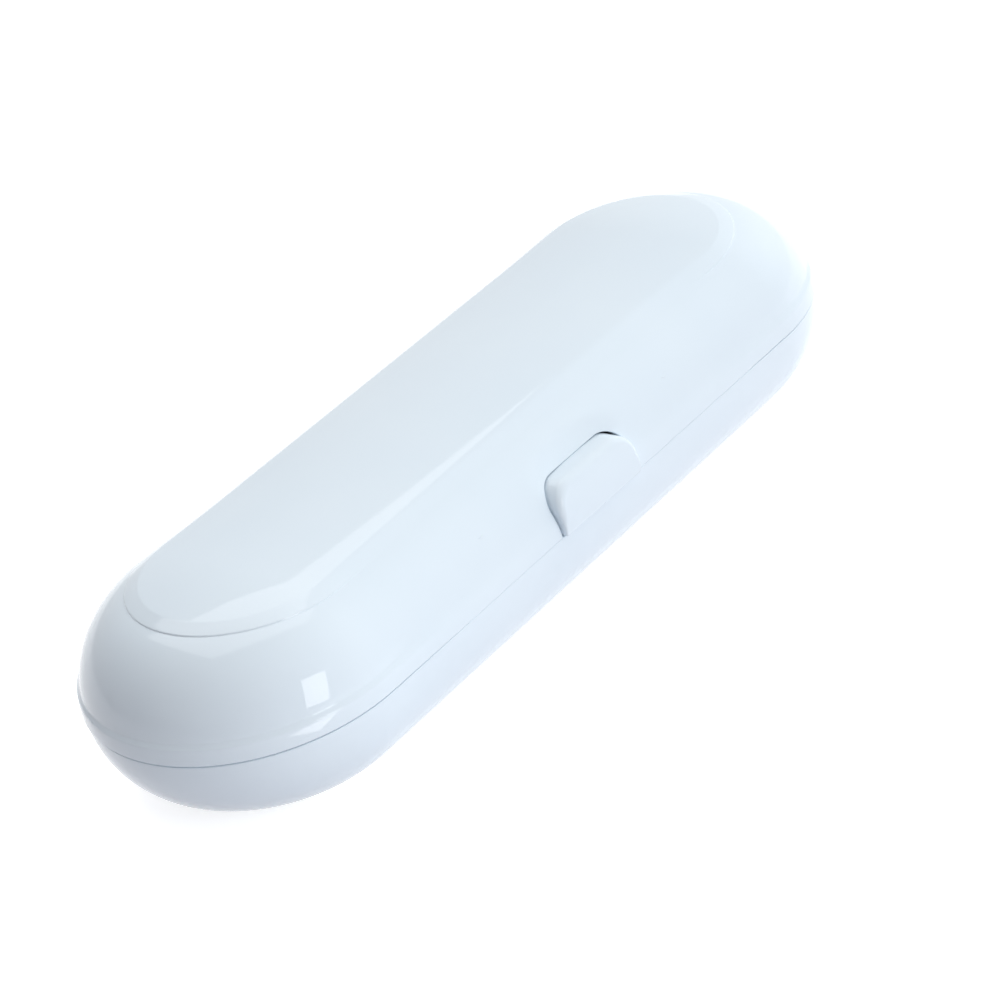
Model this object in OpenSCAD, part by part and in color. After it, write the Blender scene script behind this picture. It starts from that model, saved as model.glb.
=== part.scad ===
// Electric toothbrush travel case: two glossy capsule shells on a rear hinge, with a sprung latch button.
// Origin: centre of the flat face that the case rests on. +X along the case, -Y the latch side, +Z up.

/* [Case] */
// Overall length of the shells
case_length = 215; // [200:1:235]
// Width of the shells, without the hinge and the latch button
shell_width = 76; // [74:0.5:84]
// Height of the closed case
case_height = 45; // [43:0.5:50]
// Height of the line where lid and base meet
seam_height = 22.4; // [21.4:0.1:23.4]
// Gap between the two rims along that line
seam_gap = 0.3; // [0.1:0.05:0.5]
// Wall of both shells
wall = 2; // [1.6:0.1:2.4]

/* [Base] */
// Height of the straight strip between the rounded underside and the rim
base_straight = 0.8; // [0.6:0.1:2]
// How far the base stays behind the lid's lower band
base_inset = 0.3; // [0:0.05:0.6]

/* [Lid] */
// How far the lid's top bulges above its rounded sides
crown_rise = 1.4; // [1:0.1:1.8]
// How far the lower band stands out from the dome
band_proud = 0.6; // [0.3:0.1:0.8]
// Height of the lower band above the seam
band_height = 5; // [4:0.2:6]
// How far the top panel stands up from the dome
panel_proud = 0.7; // [0.4:0.1:1]
// Width of the top panel
panel_width = 51; // [44:1:54]
// Length of the top panel
panel_length = 182; // [160:1:184]

/* [Latch] */
// Width of the latch button
button_width = 26.4; // [24:0.2:30]
// Height of the button's top edge above the seam
button_rise = 11.4; // [11:0.2:12.4]
// Radius of the button's upper corners
button_top_round = 5.5; // [4:0.5:8]
// How far the button stands out from the lid's dome
button_proud = 2; // [1.2:0.1:2.4]
// Radius of the button's flat curve from its lower to its upper edge
face_round = 16; // [14:1:20]
// Height of the button's foremost line above the seam
face_lift = 4; // [3:0.5:5]
// Gap round the button
button_gap = 0.3; // [0.2:0.05:0.5]
// How far the button can be pressed
button_travel = 2; // [1.6:0.1:2.2]
// Plastic thickness of the button and its hook
button_wall = 1.6; // [1.4:0.1:1.8]
// Width of the hook behind the button
hook_width = 10; // [6:0.5:14]
// How far the hook reaches out
hook_reach = 1.4; // [1.2:0.1:1.6]
// Thickness of the ledge and the hook
ledge_height = 1.8; // [1.4:0.1:2]
// Clearance of parts that slide past each other
slide_gap = 0.3; // [0.2:0.05:0.4]
// Radius of the thumb hollow in the lid above the button
thumb_round = 85; // [60:5:110]
// Depth of the thumb hollow
thumb_depth = 0.8; // [0.4:0.1:1]
// Tilt of that hollow's middle above the seam
thumb_lean = 34; // [30:1:38]
// Outer diameter of the latch spring
spring_d = 5; // [4:0.2:5.4]
// Wire of the latch spring
spring_wire = 0.5; // [0.4:0.05:0.6]
// Turns of the latch spring
spring_turns = 5; // [4:1:6]
// Length of the latch spring at rest
spring_l = 8; // [7:0.5:9]

/* [Hinge] */
// Radius of the hinge knuckles
knuckle_r = 2.4; // [2.2:0.1:2.6]
// Radius of the steel hinge pins
pin_r = 0.9; // [0.8:0.05:1]
// Radial clearance of the pins in the base knuckles
pin_tight = 0.02; // [0.01:0.01:0.03]
// Radial clearance of the pins in the lid knuckles
pin_loose = 0.06; // [0.04:0.01:0.1]
// Distance of each hinge from the middle of the case
hinge_x = 38; // [30:1:48]
// Length of each knuckle
knuckle_l = 8; // [6:0.5:10]
// Gap between neighbouring knuckles
knuckle_gap = 0.3; // [0.2:0.05:0.5]
// Height of the webs that carry the knuckles
knuckle_web = 6; // [4:0.5:7]

/* [Tray] */
// Distance of the tray's top below the seam
tray_sink = 1.8; // [1.4:0.1:2.4]
// Wall of the tray
tray_wall = 1.6; // [1.2:0.1:1.8]
// Gap between the tray and the base shell
tray_gap = 0.35; // [0.2:0.05:0.6]
// Wall of the tray's raised rim, which the lid closes over
rim_wall = 1; // [0.8:0.1:1.2]
// Height of that rim above the seam
rim_height = 1.5; // [1:0.1:1.9]
// Clearance between the rim and the lid
rim_gap = 0.4; // [0.3:0.05:0.6]
// Radius of the handle trough
handle_r = 14.5; // [13:0.1:14.8]
// Distance of the handle trough from the tray's long edge
handle_margin = 9.7; // [9:0.1:10.2]
// Distance of the handle trough from the tray's ends
handle_end = 8.7; // [8:0.1:12]
// Distance of the handle trough from the floor of the base
handle_lift = 1.4; // [0.6:0.1:2]
// Radius of the brush head bays
brush_r = 8.5; // [7.5:0.1:8.8]
// Distance of the brush head bays from the tray's long edge
brush_margin = 9.2; // [8.7:0.1:9.7]
// Distance of the brush head bays from the tray's ends
brush_end = 14.7; // [13:0.1:20]
// Distance between the two brush head bays
brush_space = 28; // [26:0.5:32]
// Distance of the rear tray screws from the middle of the case
side_screw_x = 62; // [48:1:66]
// Distance of the end tray screws from the outside of the tray's rim
end_screw_inset = 8.5; // [8:0.1:9.5]
// Room between the tray screws' heads and the rim or the troughs
screw_room = 1.2; // [0.8:0.1:1.4]
// Room for the latch button in the tray and the lid insert, at each side
latch_room = 4; // [3:0.1:5]

/* [Pads] */
// Thickness of the soft pads
pad_t = 1.2; // [1:0.1:1.4]
// Depth of the seats that hold the pads
pad_seat = 0.6; // [0.4:0.1:0.8]
// Clearance of a pad in its seat
pad_gap = 0.1; // [0.05:0.05:0.2]
// Length of a handle pad
handle_pad_l = 20; // [12:1:28]
// Distance of the handle pads from the middle
handle_pad_x = 52; // [40:1:62]
// Length of a brush pad
brush_pad_l = 10; // [6:1:14]
// Part of the round that a tray pad covers
pad_angle = 120; // [80:5:130]

/* [Lid insert] */
// Thickness of the lid insert
liner_wall = 1.6; // [1.2:0.1:2]
// Height of the lid insert above the tray's rim
liner_lift = 0.6; // [0.4:0.1:0.8]
// Gap between the lid insert and the lid
liner_gap = 0.35; // [0.2:0.05:0.6]
// Width of the lid insert's flange
liner_flange = 6.4; // [6:0.1:6.8]
// Thickness of the ribs that hold the handle down
rib_t = 2.4; // [1.6:0.2:3]
// Distance of those ribs from the middle
rib_x = 52; // [44:1:62]
// Length of a lid pad along the case
lid_pad_l = 6; // [4:0.5:8]

/* [Screws] */
// Radius of a screw's shank
screw_r = 0.9; // [0.8:0.05:1]
// Radius of a screw's head
screw_head_r = 1.8; // [1.6:0.1:2]
// Height of a screw's head
screw_head_h = 1.2; // [1:0.1:1.4]
// Length of a screw's shank
screw_l = 6; // [5:0.5:7]
// Radius of the posts that take the screws
boss_r = 2.5; // [2.3:0.1:2.8]
// Clearance round a screw's shank
screw_gap = 0.05; // [0.03:0.01:0.1]

/* [Hidden] */
$fn = 96;
eps = 0.01;
far = 300;

shell_white = [0.93, 0.95, 0.98];
inner_white = [0.86, 0.88, 0.9];
soft_grey = [0.55, 0.58, 0.62];
steel = [0.7, 0.71, 0.73];

// Plan of the shells: a straight middle with half rounds at both ends
end_x = (case_length - shell_width) / 2;
band_r = shell_width / 2;
base_r = band_r - base_inset;
base_round = seam_height - base_straight;
base_top = seam_height - seam_gap / 2;
lid_low = seam_height + seam_gap / 2;

// Section of the lid: a shoulder arc and a crown arc that meet smoothly
dome_r = band_r - band_proud;
crown_h = case_height - panel_proud - seam_height;
shoulder_round = crown_h - crown_rise;
shoulder_c = dome_r - shoulder_round;
crown_round = (pow(shoulder_c, 2) + pow(crown_h, 2) - pow(shoulder_round, 2)) / (2 * (crown_h - shoulder_round));
crown_z = seam_height + crown_h - crown_round;
meet_angle = atan2(seam_height - crown_z, shoulder_c);

// Latch
button_face = shoulder_c + shoulder_round + button_proud;
face_c = button_face - face_round;
face_z = seam_height + face_lift;
button_top = seam_height + button_rise;
button_low = base_top + button_gap;
hook_out = base_r - wall - 2 * slide_gap;
arm_out = hook_out - hook_reach;
arm_in = arm_out - button_wall;
ledge_in = arm_out + slide_gap;
ledge_top = base_top - slide_gap;
ledge_low = ledge_top - ledge_height;
barb_top = ledge_low - slide_gap;
barb_low = barb_top - ledge_height;
flange_out = shoulder_round - wall - slide_gap;
flange_in = flange_out - button_wall;
flange_side = 2;
ledge_side = 2;
flange_height = 7;
sill = lid_low + 0.5;
spring_rise = 6;
spring_z = seam_height + spring_rise;
seat_r = spring_d / 2 + 0.2;
seat_t = 2.2;
spring_start = button_face - button_wall - seat_t;
spring_end = spring_start - spring_l;
guide_r = spring_d / 2 - spring_wire - 0.3;

// Hinge
hinge_y = band_r;
knuckle_pitch = knuckle_l + knuckle_gap;
sweep_r = knuckle_r + 0.3;

// Tray
tray_top = seam_height - tray_sink;
tray_low = tray_top - tray_wall;
base_inner_c = base_r - base_round;
tray_r = base_inner_c + sqrt(pow(base_round - wall, 2) - pow(base_round - tray_low, 2)) - tray_gap;
tray_end = end_x + tray_r;
handle_y = tray_r - handle_margin - handle_r;
handle_z = wall + handle_lift + tray_wall + handle_r;
handle_l = 2 * (tray_end - handle_end);
brush_y = tray_r - brush_margin - brush_r;
brush_z = tray_top - tray_wall;
brush_l = tray_end - brush_end - brush_space / 2;
brush_x = (brush_space + brush_l) / 2;
tray_notch_half = button_width / 2 + latch_room;
tray_notch_y = arm_in - button_travel - 0.8;
rim_out = dome_r - wall - rim_gap;
rim_top = seam_height + rim_height;
side_screw_y = rim_out - rim_wall - screw_head_r - screw_room;
end_screw_x = end_x + rim_out - end_screw_inset;
end_screw_y = brush_y - brush_r - screw_head_r - screw_room;
tray_screw_at = [[side_screw_x, side_screw_y], [-side_screw_x, side_screw_y],
                 [end_screw_x, -end_screw_y], [-end_screw_x, -end_screw_y]];

// Lid insert
liner_low = rim_top + liner_lift;
liner_top = liner_low + liner_wall;
liner_r = shoulder_c + sqrt(pow(shoulder_round - wall, 2) - pow(liner_top - seam_height, 2)) - liner_gap;
liner_in = liner_r - liner_flange;
liner_screw_x = 32;
liner_notch_half = liner_screw_x - boss_r - 2;
saddle_r = handle_r + pad_t;
liner_screw_y = liner_r - liner_flange / 2;

// Bracket behind the button
bracket_t = 1.6;
bracket_half = 10;
bracket_rim = 0.9;
bracket_top = spring_z + spring_d / 2 + bracket_rim;
bracket_ear_x = 19.5;
bracket_ear_y = spring_end - bracket_t - boss_r;

// A shape drawn in section, carried along the straight middle and round both ends
module capsule(half_length = end_x) {
    rotate([90, 0, 90])
        translate([0, 0, -half_length])
            linear_extrude(2 * half_length) {
                children();
                mirror([1, 0])
                    children();
            }
    for (s = [-1, 1])
        translate([s * half_length, 0, 0])
            rotate([0, 0, s > 0 ? -90 : 90])
                rotate_extrude(angle = 180)
                    children();
}

// Half section of the base's outside, or of its inside when a wall is given
module base_section(inset = 0, top = base_top) {
    r = base_round - inset;
    difference() {
        translate([0, inset])
            square([base_r - inset, top - inset]);
        difference() {
            translate([base_r - base_round, inset])
                square([r + 1, r]);
            translate([base_r - base_round, base_round])
                circle(r);
        }
    }
}

// Half section of the lid's dome, grown or shrunk along its own normal
module dome_section(grow = 0, low = lid_low) {
    away = far * [cos(meet_angle), sin(meet_angle)];
    shoulder = [shoulder_c, seam_height];
    intersection() {
        translate([0, low])
            square([far, far]);
        union() {
            intersection() {
                translate([0, crown_z])
                    circle(crown_round + grow, $fn = 240);
                polygon([[0, seam_height], shoulder, shoulder + away, [0, far]]);
            }
            intersection() {
                translate(shoulder)
                    circle(shoulder_round + grow);
                polygon([shoulder, [far, seam_height], shoulder + away]);
            }
        }
    }
}

// Outline of the button as seen from the front, grown by a clearance
module button_outline(grow = 0) {
    half = button_width / 2 + grow;
    low = button_low - grow;
    high = button_top + grow;
    top_r = button_top_round + grow;
    difference() {
        translate([-half, low])
            square([2 * half, high - low]);
        for (s = [-1, 1])
            difference() {
                translate([s * half - (s > 0 ? top_r : 0), high - top_r])
                    square(top_r);
                translate([s * (half - top_r), high - top_r])
                    circle(top_r);
            }
    }
}

// A front outline carried inwards from y = -out to y = -in
module front_prism(out, in) {
    translate([0, -in, 0])
        rotate([90, 0, 0])
            linear_extrude(out - in)
                children();
}

// A bar along X with the given section in Y and Z, drawn with +X of the section towards the front
module front_bar(width) {
    translate([width / 2, 0, 0])
        rotate([90, 0, -90])
            linear_extrude(width)
                children();
}

// A rod with round ends, lying along X
module round_rod(r, length) {
    rotate([0, 90, 0])
        rotate_extrude()
            intersection() {
                translate([0, -length / 2])
                    square([r, length]);
                union() {
                    translate([0, -length / 2 + r])
                        square([r, length - 2 * r]);
                    for (s = [-1, 1])
                        translate([0, s * (length / 2 - r)])
                            circle(r);
                }
            }
}

// A pad bent round an axis along X, below it by default
module bent_pad(r_in, r_out, length, angle, turn = 0) {
    rotate([turn, 0, 0])
        rotate([0, 90, 0])
            rotate([0, 0, -angle / 2])
                rotate_extrude(angle = angle)
                    translate([r_in, -length / 2])
                        square([r_out - r_in, length]);
}

// One hinge knuckle on the hinge axis, from its lower to its upper X
module knuckle(x0, length, r) {
    translate([x0, hinge_y, seam_height])
        rotate([0, 90, 0])
            cylinder(r = r, h = length);
}

// The room that the other body's knuckle turns in
module knuckle_notch(x) {
    knuckle(x - knuckle_l / 2 - knuckle_gap, knuckle_l + 2 * knuckle_gap, sweep_r);
}

// A web that runs from a knuckle into the shell's wall: up for side = 1, down for side = -1
module knuckle_foot(x0, side, wall_y) {
    tip = side * knuckle_web;
    translate([x0, 0, seam_height])
        rotate([90, 0, 90])
            linear_extrude(knuckle_l)
                polygon([[hinge_y + knuckle_r, 0], [wall_y - 0.2, tip], [wall_y - 1, tip], [hinge_y - wall, 0]]);
}

module screw(up = 1) {
    mirror([0, 0, up > 0 ? 0 : 1]) {
        cylinder(r = screw_r, h = screw_l);
        difference() {
            translate([0, 0, -screw_head_h])
                cylinder(r = screw_head_r, h = screw_head_h);
            for (a = [0, 90])
                rotate([0, 0, a])
                    translate([-screw_r, -0.2, -screw_head_h - eps])
                        cube([2 * screw_r, 0.4, screw_head_h / 2]);
        }
    }
}

module base_shell() {
    color(shell_white)
        difference() {
            union() {
                capsule()
                    difference() {
                        base_section();
                        base_section(wall, base_top + 1);
                    }
                base_posts();
                latch_ledge();
                for (s = [-1, 1], k = [-1, 1])
                    base_knuckle(s * hinge_x + k * knuckle_pitch - knuckle_l / 2);
            }
            for (s = [-1, 1]) {
                knuckle_notch(s * hinge_x);
                knuckle(s * hinge_x - 2 * knuckle_l, 4 * knuckle_l, pin_r + pin_tight);
            }
            for (p = tray_screw_at)
                translate([p[0], p[1], tray_low - screw_l])
                    cylinder(r = screw_r + screw_gap, h = screw_l + 1);
        }
}

module base_knuckle(x0) {
    knuckle(x0, knuckle_l, knuckle_r);
    knuckle_foot(x0, -1, base_r - base_round + sqrt(pow(base_round, 2) - pow(knuckle_web - base_straight, 2)));
}

// Posts that the tray is screwed to
module base_posts() {
    intersection() {
        for (p = tray_screw_at)
            translate([p[0], p[1], wall / 2])
                cylinder(r = boss_r, h = tray_low - wall / 2);
        capsule()
            base_section(wall / 2);
    }
}

// The ledge inside the base's front wall that the button's hook catches
module latch_ledge() {
    root = base_r - wall / 2;
    edge = ledge_height / 2;
    front_bar(hook_width + 2 * ledge_side)
        polygon([[ledge_in, ledge_top - edge], [ledge_in + edge, ledge_top], [root, ledge_top],
                 [root, ledge_low], [ledge_in, ledge_low]]);
}

module base_tray() {
    color(inner_white)
        difference() {
            union() {
                capsule() {
                    translate([0, tray_low])
                        square([tray_r, tray_wall]);
                    translate([rim_out - rim_wall, tray_low])
                        square([rim_wall, rim_top - tray_low]);
                }
                intersection() {
                    union() {
                        translate([0, handle_y, handle_z])
                            round_rod(handle_r + tray_wall, handle_l + 2 * tray_wall);
                        for (s = [-1, 1])
                            translate([s * brush_x, -brush_y, brush_z])
                                round_rod(brush_r + tray_wall, brush_l + 2 * tray_wall);
                    }
                    translate([-far, -far, 0])
                        cube([2 * far, 2 * far, tray_top - eps]);
                }
            }
            translate([0, handle_y, handle_z])
                round_rod(handle_r, handle_l);
            for (s = [-1, 1])
                translate([s * brush_x, -brush_y, brush_z])
                    round_rod(brush_r, brush_l);
            translate([-tray_notch_half, -far, 0])
                cube([2 * tray_notch_half, far - tray_notch_y, far]);
            for (s = [-1, 1]) {
                translate([s * handle_pad_x, handle_y, handle_z])
                    bent_pad(handle_r - 1, handle_r + pad_seat, handle_pad_l + 2 * pad_gap, pad_angle + 2);
                translate([s * brush_x, -brush_y, brush_z])
                    bent_pad(brush_r - 1, brush_r + pad_seat, brush_pad_l + 2 * pad_gap, pad_angle + 2);
            }
            for (p = tray_screw_at)
                translate([p[0], p[1], 0])
                    cylinder(r = screw_r + 2 * screw_gap, h = far);
        }
}

module handle_pad(s) {
    color(soft_grey)
        translate([s * handle_pad_x, handle_y, handle_z])
            soft_pad(handle_r + pad_seat - pad_gap, handle_pad_l, pad_angle);
}

module brush_pad(s) {
    color(soft_grey)
        translate([s * brush_x, -brush_y, brush_z])
            soft_pad(brush_r + pad_seat - pad_gap, brush_pad_l, pad_angle);
}

// A pad with three low ridges on its inner face
module soft_pad(r_out, length, angle, turn = 0) {
    bent_pad(r_out - pad_t + 0.4, r_out, length, angle, turn);
    for (k = [-1, 0, 1])
        translate([k * length / 3.2, 0, 0])
            bent_pad(r_out - pad_t, r_out - pad_t + 0.5, length / 6, angle, turn);
}

module tray_screws() {
    color(steel)
        for (p = tray_screw_at)
            translate([p[0], p[1], tray_top])
                screw(-1);
}

module lid_shell() {
    color(shell_white)
        difference() {
            union() {
                lid_skin();
                lid_panel();
                lid_posts();
                for (s = [-1, 1])
                    lid_knuckle(s * hinge_x - knuckle_l / 2);
            }
            front_prism(far, shoulder_c)
                button_outline(button_gap);
            thumb_hollow();
            for (s = [-1, 1]) {
                for (k = [-1, 1])
                    knuckle_notch(s * hinge_x + k * knuckle_pitch);
                knuckle(s * hinge_x - 2 * knuckle_l, 4 * knuckle_l, pin_r + pin_loose);
            }
        }
}

module lid_skin() {
    capsule()
        difference() {
            union() {
                dome_section();
                intersection() {
                    dome_section(band_proud);
                    square([far, seam_height + band_height]);
                }
            }
            dome_section(-wall, 0);
        }
}

// The top panel, with the same curve as the dome
module lid_panel() {
    intersection() {
        capsule()
            difference() {
                dome_section(panel_proud);
                dome_section(-wall / 2, 0);
            }
        capsule((panel_length - panel_width) / 2)
            translate([0, seam_height + crown_h / 2])
                square([panel_width / 2, crown_h]);
    }
}

module lid_knuckle(x0) {
    knuckle(x0, knuckle_l, knuckle_r);
    knuckle_foot(x0, 1, shoulder_c + sqrt(pow(shoulder_round, 2) - pow(knuckle_web, 2)));
}

// Posts that hang from the lid for the screws of its insert and of the latch bracket
module lid_posts() {
    intersection() {
        union() {
            for (sx = [-1, 1], sy = [-1, 1])
                translate([sx * liner_screw_x, sy * liner_screw_y, liner_top])
                    lid_post();
            for (s = [-1, 1])
                translate([s * bracket_ear_x, -bracket_ear_y, bracket_top])
                    lid_post();
        }
        capsule()
            dome_section(-wall / 2, 0);
    }
}

module lid_post() {
    difference() {
        cylinder(r = boss_r, h = case_height);
        translate([0, 0, -eps])
            cylinder(r = screw_r + screw_gap, h = screw_l - bracket_t + 0.5);
    }
}

// A shallow round hollow that guides the thumb to the button
module thumb_hollow() {
    away = shoulder_round + thumb_round - thumb_depth;
    translate([0, -shoulder_c - away * cos(thumb_lean), seam_height + away * sin(thumb_lean)])
        sphere(thumb_round);
}

module lid_liner() {
    color(inner_white)
        difference() {
            union() {
                capsule()
                    translate([liner_in, liner_low])
                        square([liner_flange, liner_wall]);
                for (s = [-1, 1])
                    hold_rib(s * rib_x);
            }
            translate([-liner_notch_half, -far, 0])
                cube([2 * liner_notch_half, far - 1, far]);
            for (sx = [-1, 1], sy = [-1, 1])
                translate([sx * liner_screw_x, sy * liner_screw_y, 0])
                    cylinder(r = screw_r + 2 * screw_gap, h = far);
        }
}

// One cross rib with a saddle for the handle and a cut-out for a brush head
module hold_rib(x) {
    translate([x, 0, 0]) {
        difference() {
            translate([-rib_t / 2, 0, 0])
                rotate([90, 0, 90])
                    linear_extrude(rib_t)
                        rib_section();
            translate([-rib_t, handle_y, handle_z])
                rotate([0, 90, 0])
                    cylinder(r = saddle_r + liner_wall / 2, h = 2 * rib_t);
            translate([-rib_t, -brush_y, brush_z])
                rotate([0, 90, 0])
                    cylinder(r = brush_r + 0.6, h = 2 * rib_t);
        }
        translate([0, handle_y, handle_z])
            bent_pad(saddle_r, saddle_r + liner_wall, lid_pad_l + 1, pad_angle / 1.5 + 4, 180);
    }
}

module rib_section() {
    intersection() {
        union() {
            dome_section(-wall - liner_gap, liner_low);
            mirror([1, 0])
                dome_section(-wall - liner_gap, liner_low);
        }
        translate([-liner_in - 1, 0])
            square([2 * liner_in + 2, far]);
    }
}

module lid_pad(s) {
    color(soft_grey)
        translate([s * rib_x, handle_y, handle_z])
            soft_pad(saddle_r - pad_gap, lid_pad_l, pad_angle / 1.5, 180);
}

module liner_screws() {
    color(steel)
        for (sx = [-1, 1], sy = [-1, 1])
            translate([sx * liner_screw_x, sy * liner_screw_y, liner_low])
                screw(1);
}

module latch_button() {
    color(shell_white) {
        difference() {
            union() {
                intersection() {
                    front_prism(button_face + 1, shoulder_c)
                        button_outline();
                    front_bar(button_width + 2)
                        translate([face_c, face_z])
                            circle(face_round);
                }
                front_bar(button_width + 2 * flange_side)
                    flange_section();
            }
            front_bar(button_width + 4 * flange_side)
                translate([shoulder_c, seam_height])
                    circle(flange_in);
            button_hollow();
        }
        button_hook();
    }
}

// Outer section of the flanges that keep the button in the lid
module flange_section() {
    intersection() {
        translate([shoulder_c, seam_height])
            circle(flange_out);
        translate([shoulder_c, sill])
            square([flange_out, flange_height]);
    }
}

// The space behind the button's face, which leaves a flat seat and a guide for the spring
module button_hollow() {
    difference() {
        intersection() {
            front_bar(button_width - 2 * button_wall)
                difference() {
                    translate([face_c, face_z])
                        circle(face_round - button_wall);
                    translate([-far, -far])
                        square([far + shoulder_c, 2 * far]);
                }
            translate([-far / 2, -far, sill + button_wall])
                cube([far, far, button_rise - 2 * button_wall - (sill - seam_height)]);
        }
        translate([0, -spring_start, spring_z])
            rotate([90, 0, 0])
                cylinder(r = seat_r, h = far);
        translate([0, -spring_start + spring_l / 2.5, spring_z])
            rotate([90, 0, 0])
                cylinder(r = guide_r, h = far);
    }
}

// The arm behind the button and the hook at its end
module button_hook() {
    front_bar(hook_width)
        polygon([[shoulder_c + flange_out, sill], [shoulder_c + flange_out, sill + button_wall],
                 [arm_in, sill + button_wall], [arm_in, barb_low], [arm_out, barb_low],
                 [arm_out + hook_reach, barb_top - 0.4], [arm_out + hook_reach, barb_top], [arm_out, barb_top],
                 [arm_out, sill]]);
}

// Compression spring on the button's boss, pushing against the bracket
module latch_spring() {
    color(steel)
        translate([0, -spring_start, spring_z])
            rotate([-90, 0, 0])
                coil((spring_d - spring_wire) / 2, spring_wire / 2, spring_l, spring_turns);
}

// A wire wound as a helix, closed at its ends by flat rings of the polyhedron
module coil(r, wire_r, height, turns) {
    sides = 6;
    steps = 16 * turns;
    rise = height - 2 * wire_r;
    points = [for (i = [0:steps], j = [0:sides - 1])
        let (a = 360 * turns * i / steps, b = 360 * j / sides, rr = r + wire_r * cos(b))
            [rr * cos(a), rr * sin(a), wire_r + rise * i / steps + wire_r * sin(b)]];
    side_faces = [for (i = [0:steps - 1], j = [0:sides - 1])
        let (a = i * sides + j, b = i * sides + (j + 1) % sides)
            each [[a, b, b + sides], [a, b + sides, a + sides]]];
    last = steps * sides;
    start_face = [for (j = [1:sides - 2]) [0, j + 1, j]];
    end_face = [for (j = [1:sides - 2]) [last, last + j, last + j + 1]];
    polyhedron(points, concat(side_faces, start_face, end_face));
}

module latch_bracket() {
    low = sill + button_wall + slide_gap;
    ear_back = bracket_ear_y - boss_r;
    color(inner_white)
        difference() {
            union() {
                translate([-bracket_half, -spring_end, low])
                    cube([2 * bracket_half, bracket_t, bracket_top - low]);
                translate([-bracket_ear_x - boss_r, -spring_end, bracket_top - bracket_t])
                    cube([2 * bracket_ear_x + 2 * boss_r, spring_end - ear_back, bracket_t]);
            }
            for (s = [-1, 1])
                translate([s * bracket_ear_x, -bracket_ear_y, 0])
                    cylinder(r = screw_r + 2 * screw_gap, h = far);
        }
}

module bracket_screws() {
    color(steel)
        for (s = [-1, 1])
            translate([s * bracket_ear_x, -bracket_ear_y, bracket_top - bracket_t])
                screw(1);
}

module hinge_pin(s) {
    length = 3 * knuckle_l + 2 * knuckle_gap;
    color(steel)
        knuckle(s * hinge_x - length / 2, length, pin_r);
}

base_shell();
base_tray();
handle_pad(-1);  // handle_pad_left
handle_pad(1);  // handle_pad_right
brush_pad(-1);  // brush_pad_left
brush_pad(1);  // brush_pad_right
tray_screws();
lid_shell();
lid_liner();
lid_pad(-1);  // lid_pad_left
lid_pad(1);  // lid_pad_right
liner_screws();
latch_button();
latch_spring();
latch_bracket();
bracket_screws();
hinge_pin(-1);  // hinge_pin_left
hinge_pin(1);  // hinge_pin_right
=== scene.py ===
"""Looks of a toothbrush travel case: smooth shells, latch button, pads and spring over the fixed CAD frame."""
import math

import bmesh
import bpy
import numpy as np
from mathutils import Matrix, Quaternion, Vector


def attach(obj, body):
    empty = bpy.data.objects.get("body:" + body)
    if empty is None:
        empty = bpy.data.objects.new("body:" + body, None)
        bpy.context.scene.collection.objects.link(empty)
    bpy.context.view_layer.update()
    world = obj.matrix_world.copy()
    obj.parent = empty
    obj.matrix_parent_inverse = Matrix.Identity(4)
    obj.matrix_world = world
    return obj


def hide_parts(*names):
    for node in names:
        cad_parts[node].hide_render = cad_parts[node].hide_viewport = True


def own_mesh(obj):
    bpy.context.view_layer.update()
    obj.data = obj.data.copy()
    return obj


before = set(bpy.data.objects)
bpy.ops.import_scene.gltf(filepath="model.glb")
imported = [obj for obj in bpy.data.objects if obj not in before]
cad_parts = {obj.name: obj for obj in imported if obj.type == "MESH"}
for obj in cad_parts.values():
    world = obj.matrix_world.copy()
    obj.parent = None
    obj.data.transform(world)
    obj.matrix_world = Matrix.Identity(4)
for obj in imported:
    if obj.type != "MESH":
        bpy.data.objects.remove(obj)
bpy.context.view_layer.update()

MM = 0.001
WELD = 0.000002

# The case, in millimetres, with the same sizes as the solids
END_X = 69.5
SEAM = 22.4
LID_LOW = 22.47
BASE_TOP = 22.37
WALL = 2.0
RIM_ROUND = 0.28
SEAM_OPEN = 0.13
SEAM_REACH = 0.9
END_FROM = 40

# Lid: shoulder arc, crown arc, lower band and top panel
SHOULDER_C = 16.9
SHOULDER_R = 20.5
CROWN_H = 21.9
CROWN_R = (SHOULDER_C ** 2 + CROWN_H ** 2 - SHOULDER_R ** 2) / (2 * (CROWN_H - SHOULDER_R))
CROWN_Z = SEAM + CROWN_H - CROWN_R
MEET_COS = SHOULDER_C / math.hypot(SHOULDER_C, SEAM - CROWN_Z)
BAND_PROUD = 0.6
BAND_TOP = 27.4
BAND_COVE = 26.1
SOFT_TOP = 30.5
SOFT_COVE = 23.2
PANEL_END = 65.5
PANEL_R = 25.5
PANEL_STEP = 0.22
PANEL_PROUD = 0.7
PANEL_SLOPE = 3.4
PANEL_STEP_W = 0.22
PANEL_STEP_BOW = 0.8
PANEL_SOFT_W = 1.6
PANEL_CRISP_X = 50
PANEL_CRISP_L = 22

# Base: rounded underside with a short upright strip at its rim
BASE_C = 16.1
BASE_R = 21.6

# Rows of the shells' grids: parts of the rim, heights on the band, distances from the middle line inside the
# lid, and depths inside the panel's edge
RIM_PARTS = 8
BAND_ROWS = (22.85, 23.6, 24.6, 25.4, 25.9)
LID_INSIDE_ROWS = (0, 6, 12, 16, 19, 20.6, 21.8)
PANEL_ROWS = (0.02, 0.05, 0.1, 0.15, 0.22, 0.3, 0.5, 0.9, 1.4, 1.9, 2.4, 2.8, 3.1, 3.3, 3.5, 3.7, 4.0, 4.6, 5.5,
              7, 9, 11, 13, 15, 17, 19, 21, 23, 24.5, 25.5)

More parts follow.
